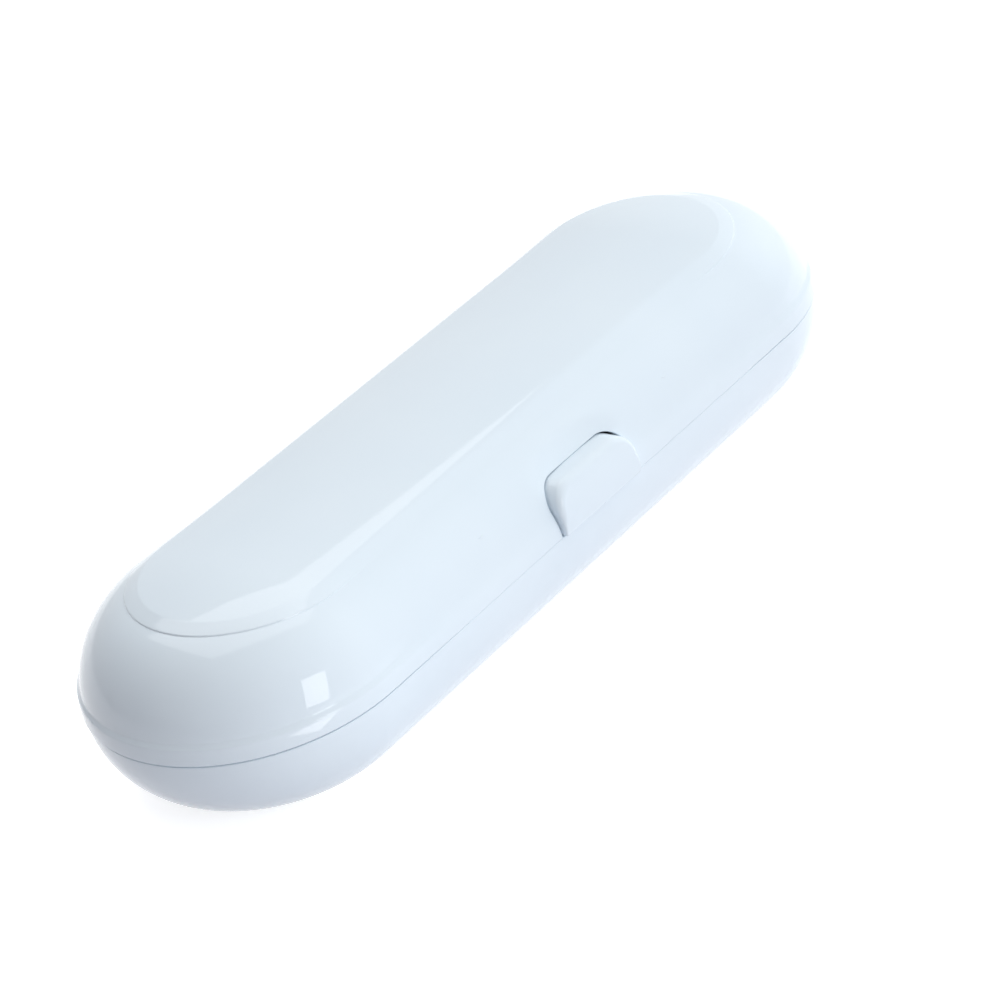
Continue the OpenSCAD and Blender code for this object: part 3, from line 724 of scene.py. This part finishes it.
def drawn_steel():
    """Bright drawn steel: fine lines along the case and small changes of polish."""
    mat, tree, shader, at = new_material("drawn_steel")
    tint = ranged(tree, noise(tree, at, 200, 3), 0.3, 0.7, 0, 1)
    tree.links.new(mixed(tree, tint, srgb(178, 180, 184), srgb(200, 202, 205)), shader.inputs["Base Color"])
    shader.inputs["Metallic"].default_value = 1.0
    lines = noise(tree, at, 900, 3, 0.6, (0.05, 1, 1))
    tree.links.new(ranged(tree, lines, 0.3, 0.7, 0.22, 0.38), shader.inputs["Roughness"])
    bumped(tree, shader, lines, 0.15, 0.00005)
    return mat


SHELL = gloss_white()
INSERT = satin_insert()
RUBBER = soft_rubber()
STEEL = drawn_steel()

# ---------- pieces ----------

STEPS = opening_steps(PATCH_X - OPENING_X)
ACROSS = np.linspace(-PATCH_X, PATCH_X, 53)
NOTCH_EDGES = [HINGE_X + k * KNUCKLE_PITCH + s * NOTCH_HALF + d
               for k in (-1, 0, 1) for s in (-1, 1) for d in (-0.06, 0.06)]
PLAIN_SIDES = [28, 31, 36, 40, 45, 48, 54, 57.5, 61, 64, 66.5, 68.2, END_X]
SIDES = np.unique(np.round(np.concatenate([[PATCH_X, 23.2], NOTCH_EDGES, PLAIN_SIDES]), 4))
REAR = np.concatenate([-SIDES[::-1], ACROSS[1:-1], SIDES])

lid = Surface()
lid_surface().build(lid, SIDES, ACROSS, REAR, STEPS, thumb_hollow)
hinge_knuckles(lid, LID_KNUCKLES, 1, LID_BORE)
for boss in LINER_BOSSES:
    rod(lid, boss, (0, 0, 1), 8.0, BOSS_R, 0.2, BOSS_BORE)
for boss in BRACKET_BOSSES:
    rod(lid, boss, (0, 0, 1), 8.5, BOSS_R, 0.2, BOSS_BORE)
piece("lid_shell_skin", lid, "lid", ["lid_shell"], SHELL)

base = Surface()
base_surface().build(base, SIDES, ACROSS, REAR)
hinge_knuckles(base, BASE_KNUCKLES, -1, BASE_BORE)
for post in TRAY_POSTS:
    rod(base, post, (0, 0, 1), POST_TOP - post[2], BOSS_R, 0.2, BOSS_BORE)
prism(base, LEDGE, -LEDGE_HALF, LEDGE_HALF)
piece("base_shell_skin", base, "base", ["base_shell"], SHELL)


def button_outline(inset, count=200):
    """The button's outline drawn in by inset: centre + (radius - inset) * unit, going once round."""
    top_x, top_z = BUTTON_X - BUTTON_TOP_R, BUTTON_TOP - BUTTON_TOP_R
    low_x, low_z = BUTTON_X - BUTTON_LOW_R, BUTTON_LOW + BUTTON_LOW_R
    path = opening_path([
        ("line", (0, top_z, 0, 1), (-top_x, top_z), BUTTON_TOP_R),
        ("arc", (-top_x, top_z), (90, 180), BUTTON_TOP_R),
        ("line", (-low_x, top_z, -1, 0), (-low_x, low_z), BUTTON_LOW_R),
        ("arc", (-low_x, low_z), (180, 270), BUTTON_LOW_R),
        ("line", (-low_x, low_z, 0, -1), (low_x, low_z), BUTTON_LOW_R),
        ("arc", (low_x, low_z), (-90, 0), BUTTON_LOW_R),
        ("line", (low_x, low_z, 1, 0), (low_x, top_z), BUTTON_LOW_R),
        ("arc", (top_x, top_z), (0, 90), BUTTON_TOP_R),
        ("line", (top_x, top_z, 0, 1), (0, top_z), BUTTON_TOP_R)])
    along = np.linspace(0, path[-1, 0], count, endpoint=False)
    return opening_at(path, along, -np.broadcast_to(inset, along.shape)[:, None])


def face_y(z, radius=FACE_R):
    """The button's front at a height: a flat arc, -(centre + sqrt(radius^2 - (z - middle)^2))."""
    return -(FACE_C + np.sqrt(radius ** 2 - (z - FACE_Z) ** 2))


def shoulder_y(z, radius):
    """An arc about the shoulder's centre at a height: -(centre + sqrt(radius^2 - (z - seam)^2))."""
    return -(SHOULDER_C + np.sqrt(radius ** 2 - (z - SEAM) ** 2))


def button_surface():
    """The button: a flat-curved face whose border is rounded more and more towards its top, a hollow back, then
    its frame, wings, arm and hook."""
    surface = Surface()
    edge = button_outline(0)
    grown = eased(np.clip((edge[:, 1] - ROUND_FROM) / ROUND_RISE, 0, 1))
    big = LOW_ROUND + (TOP_ROUND - LOW_ROUND) * grown
    inner_r = FACE_R - BUTTON_WALL
    core = np.column_stack([np.clip(edge[:, 0] * CORE_SHARE, -CORE_X, CORE_X), np.full(len(edge), CORE_Z)])

    def raised(flat, y):
        return np.column_stack([flat[:, 0], y, flat[:, 1]])

    rows = [raised(core, face_y(core[:, 1], inner_r)), raised(edge, face_y(edge[:, 1], inner_r))]
    for a in np.linspace(0, np.pi / 2, 12):
        flat = button_outline(big * (1 - np.cos(a)))
        rows.append(raised(flat, face_y(flat[:, 1]) + big * (1 - np.sin(a))))
    near = button_outline(big + 0.15)
    for t in np.linspace(0, 1, 16) ** 0.9:
        flat = (1 - t) * near + t * core
        rows.append(raised(flat, face_y(flat[:, 1])))
    surface.grid(np.array(rows), closed_cols=True)
    frame_out = button_outline(0.02)
    inset = button_outline(BUTTON_WALL)
    frame_in = np.clip(inset, [-FRAME_X, FRAME_LOW], [FRAME_X, FRAME_TOP])
    ring = [raised(frame_out, face_y(frame_out[:, 1], inner_r + 0.3)),
            raised(frame_out, shoulder_y(frame_out[:, 1], FRAME_R)),
            raised(frame_in, shoulder_y(frame_in[:, 1], FRAME_R)),
            raised(frame_in, face_y(frame_in[:, 1], inner_r + 0.3))]
    surface.grid(np.array(ring), closed_rows=True, closed_cols=True)
    # Two wings behind the lid's wall stop the button
    heights = np.linspace(SILL, SILL + WING_H, 12)
    wing = [(shoulder_y(z, WING_R), z) for z in heights] + [(shoulder_y(z, FRAME_R), z) for z in heights[::-1]]
    prism(surface, wing, -WING_FAR, -WING_NEAR)
    prism(surface, wing, WING_NEAR, WING_FAR)
    # The arm hangs from the frame, with a hook at its lower end
    root = [(HOOK_OUT, SILL), (HOOK_OUT, FRAME_LOW), (ARM_IN, FRAME_LOW), (ARM_IN, SILL + 0.2), (ARM_OUT, SILL)]
    hook = [(ARM_OUT, ARM_TOP), (ARM_IN, ARM_TOP), (ARM_IN, ARM_LOW), (ARM_OUT, ARM_LOW), (HOOK_OUT, 19.45),
            (HOOK_OUT, HOOK_TOP), (ARM_OUT, HOOK_TOP)]
    for outline in (root, hook):
        prism(surface, outline, -ARM_HALF, ARM_HALF)
    # The seat and the pin that the spring sits on
    for length, radius in ((2.3, 2.7), (5.5, 1.7)):
        rod(surface, (0, SEAT_Y, SPRING_Z), (0, 1, 0), length, radius)
    return surface


piece("latch_button_cap", button_surface(), "button", ["latch_button"], SHELL)


# Pads: piece, node, body, middle (x, y, z), outer radius, length, angle across, and whether the pad is above
# its axis (1) or below it (-1)
PADS = [("handle_cushion_", "handle_pad_", "base", (52, 10.977, 19.5), 15.0, 20, 120, -1),
        ("brush_cushion_", "brush_pad_", "base", (51.99, -17.477, 19.0), 9.0, 10, 120, -1),
        ("lid_cushion_", "lid_pad_", "lid", (52, 10.977, 19.5), 15.6, 6, 80, 1)]
PAD_THICK = 1.2
PAD_ROUND = 0.3
RIB_H = 0.4


def pad_surface(x, y, z, r_out, length, angle, turn):
    """A bent pad with three low ribs: angle across, way along X, and thickness grown where a rib runs. Towards
    its border it gets thinner by a part of a quarter circle."""
    surface = Surface()
    u = np.linspace(-1, 1, 41)
    v = np.linspace(-1, 1, 61)
    a, l = np.meshgrid(np.radians(angle / 2) * u, length / 2 * v, indexing="ij")
    rib = sum(np.clip(1 - (np.abs(l - k * length / 3.2) / (length / 12)) ** 4, 0, 1) for k in (-1, 0, 1))
    to_side = (1 - np.abs(u))[:, None] * np.radians(angle / 2) * r_out
    to_end = (1 - np.abs(v))[None, :] * length / 2
    border = np.minimum(to_side, to_end)
    soft = 1 - np.sqrt(1 - np.clip(border / PAD_ROUND, 0, 1)) * 0.35 * (border < PAD_ROUND)
    inner = r_out - (PAD_THICK - RIB_H + RIB_H * rib) * soft
    top = np.stack([x + l, y + inner * np.sin(a), z + turn * inner * np.cos(a)], -1)
    low = np.stack([x + l, y + r_out * np.sin(a), z + turn * r_out * np.cos(a)], -1)
    surface.grid(top)
    surface.grid(low)
    for side in (0, -1):
        surface.grid(np.stack([top[side], low[side]]))
        surface.grid(np.stack([top[:, side], low[:, side]]))
    return surface


for s, word in ((-1, "left"), (1, "right")):
    for skin, node, body, (x, y, z), r_out, length, angle, turn in PADS:
        pad = pad_surface(s * x, y, z, r_out, length, angle, turn)
        piece(skin + word, pad, body, [node + word], RUBBER, 50)


def spring_surface():
    """A wire helix about an axis along Y, with flat end turns: angle and advance are functions of the way."""
    surface = Surface()
    turns, wire, mean_r, start, length = 5.0, 0.25, 2.25, -35.57, 8.0
    t = np.linspace(0, 1, 320)
    rise = wire + (length - 2 * wire) * np.clip((t * 1.16 - 0.08), 0, 1)
    a = 2 * np.pi * turns * t
    centre = np.column_stack([mean_r * np.cos(a), start + rise, SPRING_Z + mean_r * np.sin(a)])
    tangent = np.gradient(centre, axis=0)
    tangent /= np.linalg.norm(tangent, axis=1)[:, None]
    out = np.column_stack([np.cos(a), np.zeros_like(a), np.sin(a)])
    side = np.cross(tangent, out)
    b = np.linspace(0, 2 * np.pi, 12, endpoint=False)
    c, s = np.cos(b)[None, :, None], np.sin(b)[None, :, None]
    ring = centre[:, None] + wire * (c * out[:, None] + s * side[:, None])
    surface.grid(ring, closed_cols=True)
    surface.fan(ring[0])
    surface.fan(ring[-1])
    return surface


spring = piece("latch_spring_wire", spring_surface(), "lid", ["latch_spring"], STEEL)
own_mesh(spring)

NODE_LOOKS = {"base_tray": INSERT, "lid_liner": INSERT, "latch_bracket": INSERT, "tray_screws": STEEL,
              "liner_screws": STEEL, "bracket_screws": STEEL, "hinge_pin_left": STEEL, "hinge_pin_right": STEEL}
for node_name, look in NODE_LOOKS.items():
    node_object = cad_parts[node_name]
    for place in node_object.material_slots:
        place.material = look

# ---------- studio ----------

FLOOR_HALF = 3.0
FLOOR_SEEN = (0.8, 0.8, 0.8, 1)
FLOOR_BOUNCE = (0.8, 0.79, 0.84, 1)
FLOOR_GLOW = 0.75

# The room is dark towards the case's near end and bright towards its far end: the ramp gives the strength
# from how far a direction points along ROOM_WAY
ROOM_WAY = (0.9, -0.38, 0.5)
ROOM_RAMP = (-0.3, 0.8, 0.0, 1.25)
DARK_TINT = (0.98, 0.91, 1, 1)
BRIGHT_TINT = (0.96, 0.99, 1, 1)

scene = bpy.context.scene
scene.view_settings.view_transform = "Standard"


def background_rays(tree):
    """1 for the rays that see the white background: camera, glossy and transmission rays."""
    ray_path = tree.nodes.new("ShaderNodeLightPath")
    total = ray_path.outputs["Is Camera Ray"]
    for kind in ("Is Glossy Ray", "Is Transmission Ray"):
        add = tree.nodes.new("ShaderNodeMath")
        add.operation = "ADD"
        add.use_clamp = True
        tree.links.new(total, add.inputs[0])
        tree.links.new(ray_path.outputs[kind], add.inputs[1])
        total = add.outputs[0]
    return total


def stage_plane():
    """A wide pale floor: camera, glossy and transmission rays see it white, with the object's shadow on it."""
    data = bpy.data.meshes.new("floor")
    corners = [(sx * FLOOR_HALF, sy * FLOOR_HALF, 0) for sx, sy in ((-1, -1), (1, -1), (1, 1), (-1, 1))]
    data.from_pydata(corners, [], [(0, 1, 2, 3)])
    floor = bpy.data.objects.new("floor", data)
    scene.collection.objects.link(floor)
    mat = bpy.data.materials.new("white_floor")
    mat.use_nodes = True
    tree = mat.node_tree
    tree.nodes.clear()
    out = tree.nodes.new("ShaderNodeOutputMaterial")
    diffuse = tree.nodes.new("ShaderNodeBsdfDiffuse")
    diffuse.inputs["Color"].default_value = FLOOR_SEEN
    bounce = tree.nodes.new("ShaderNodeBsdfDiffuse")
    bounce.inputs["Color"].default_value = FLOOR_BOUNCE
    glow = tree.nodes.new("ShaderNodeEmission")
    glow.inputs["Strength"].default_value = FLOOR_GLOW
    add = tree.nodes.new("ShaderNodeAddShader")
    seen = tree.nodes.new("ShaderNodeMixShader")
    tree.links.new(diffuse.outputs[0], add.inputs[0])
    tree.links.new(glow.outputs[0], add.inputs[1])
    tree.links.new(background_rays(tree), seen.inputs[0])
    tree.links.new(bounce.outputs[0], seen.inputs[1])
    tree.links.new(add.outputs[0], seen.inputs[2])
    tree.links.new(seen.outputs[0], out.inputs["Surface"])
    data.materials.append(mat)


stage_plane()


def room_light():
    """The world: white for the rays that see the background, a tinted ramp for the others."""
    world = bpy.data.worlds.new("studio")
    scene.world = world
    world.use_nodes = True
    tree = world.node_tree
    tree.nodes.clear()
    out = tree.nodes.new("ShaderNodeOutputWorld")
    way = tree.nodes.new("ShaderNodeTexCoord")
    dot = tree.nodes.new("ShaderNodeVectorMath")
    dot.operation = "DOT_PRODUCT"
    dot.inputs[1].default_value = Vector(ROOM_WAY).normalized()
    tree.links.new(way.outputs["Generated"], dot.inputs[0])
    ramp = ranged(tree, dot.outputs["Value"], *ROOM_RAMP)
    room = tree.nodes.new("ShaderNodeBackground")
    tree.links.new(ramp, room.inputs["Strength"])
    tree.links.new(mixed(tree, ramp, DARK_TINT, BRIGHT_TINT), room.inputs["Color"])
    white = tree.nodes.new("ShaderNodeBackground")
    white.inputs["Color"].default_value = (1, 1, 1, 1)
    seen = tree.nodes.new("ShaderNodeMixShader")
    tree.links.new(background_rays(tree), seen.inputs[0])
    tree.links.new(room.outputs[0], seen.inputs[1])
    tree.links.new(white.outputs[0], seen.inputs[2])
    tree.links.new(seen.outputs[0], out.inputs["Surface"])


room_light()


def soft_box(name, azimuth, elevation, distance, width, height, watts, aim=(0, 0, 0.02), turn=0):
    """A rectangular area lamp at an angle round the object, facing it and turned about its own axis."""
    az, el = math.radians(azimuth), math.radians(elevation)
    way = Vector((math.sin(az) * math.cos(el), -math.cos(az) * math.cos(el), math.sin(el)))
    lamp = bpy.data.lights.new(name, "AREA")
    lamp.shape = "RECTANGLE"
    lamp.size, lamp.size_y, lamp.energy = width, height, watts
    obj = bpy.data.objects.new(name, lamp)
    scene.collection.objects.link(obj)
    obj.location = Vector(aim) + way * distance
    facing = (-way).to_track_quat("-Z", "Y")
    obj.rotation_euler = (facing @ Quaternion((0, 0, 1), math.radians(turn))).to_euler()
    return obj


soft_box("top_box", 150, 66, 1.2, 0.9, 0.9, 2.95)
soft_box("window_box", -10.4, 17.9, 1.2, 0.33, 0.66, 2.5, aim=(-0.0835, -0.0321, 0.0313), turn=-12)
soft_box("left_card", -96, 22, 1.2, 0.7, 0.25, 0.1, aim=(-0.1, -0.012, 0.033))
# A small card beside the near end; the camera doesn't see it, but the polished shell does
low_card = soft_box("low_card", 0, -90, 0.0, 0.035, 0.1, 0.034, aim=(-0.106, -0.135, 0.001), turn=-15)
low_card.visible_camera = False


def place_camera():
    """The photograph's view: turned, raised and rolled about the object, at its distance and focal length."""
    az, el, roll = math.radians(-42.191), math.radians(29.737), math.radians(-16.399)
    dist, focal, cx, cy = 700.66 * MM, 3215.44, 466.92, 473.77
    back = Vector((math.sin(az) * math.cos(el), -math.cos(az) * math.cos(el), math.sin(el)))
    right = Vector((math.cos(az), math.sin(az), 0))
    up = back.cross(right)
    c, s = math.cos(roll), math.sin(roll)
    right, up = c * right + s * up, -s * right + c * up
    cam = bpy.data.cameras.new("camera")
    cam.sensor_width = 36
    cam.lens = focal / 1000 * 36
    cam.shift_x, cam.shift_y = (500 - cx) / 1000, (cy - 500) / 1000
    cam.clip_start, cam.clip_end = 0.05, 20
    obj = bpy.data.objects.new("camera", cam)
    scene.collection.objects.link(obj)
    turn = Matrix((right, up, back)).transposed().to_4x4()
    obj.matrix_world = Matrix.Translation(Vector((0, 0, 0.0225)) + back * dist) @ turn
    scene.camera = obj


place_camera()

bpy.context.view_layer.update()
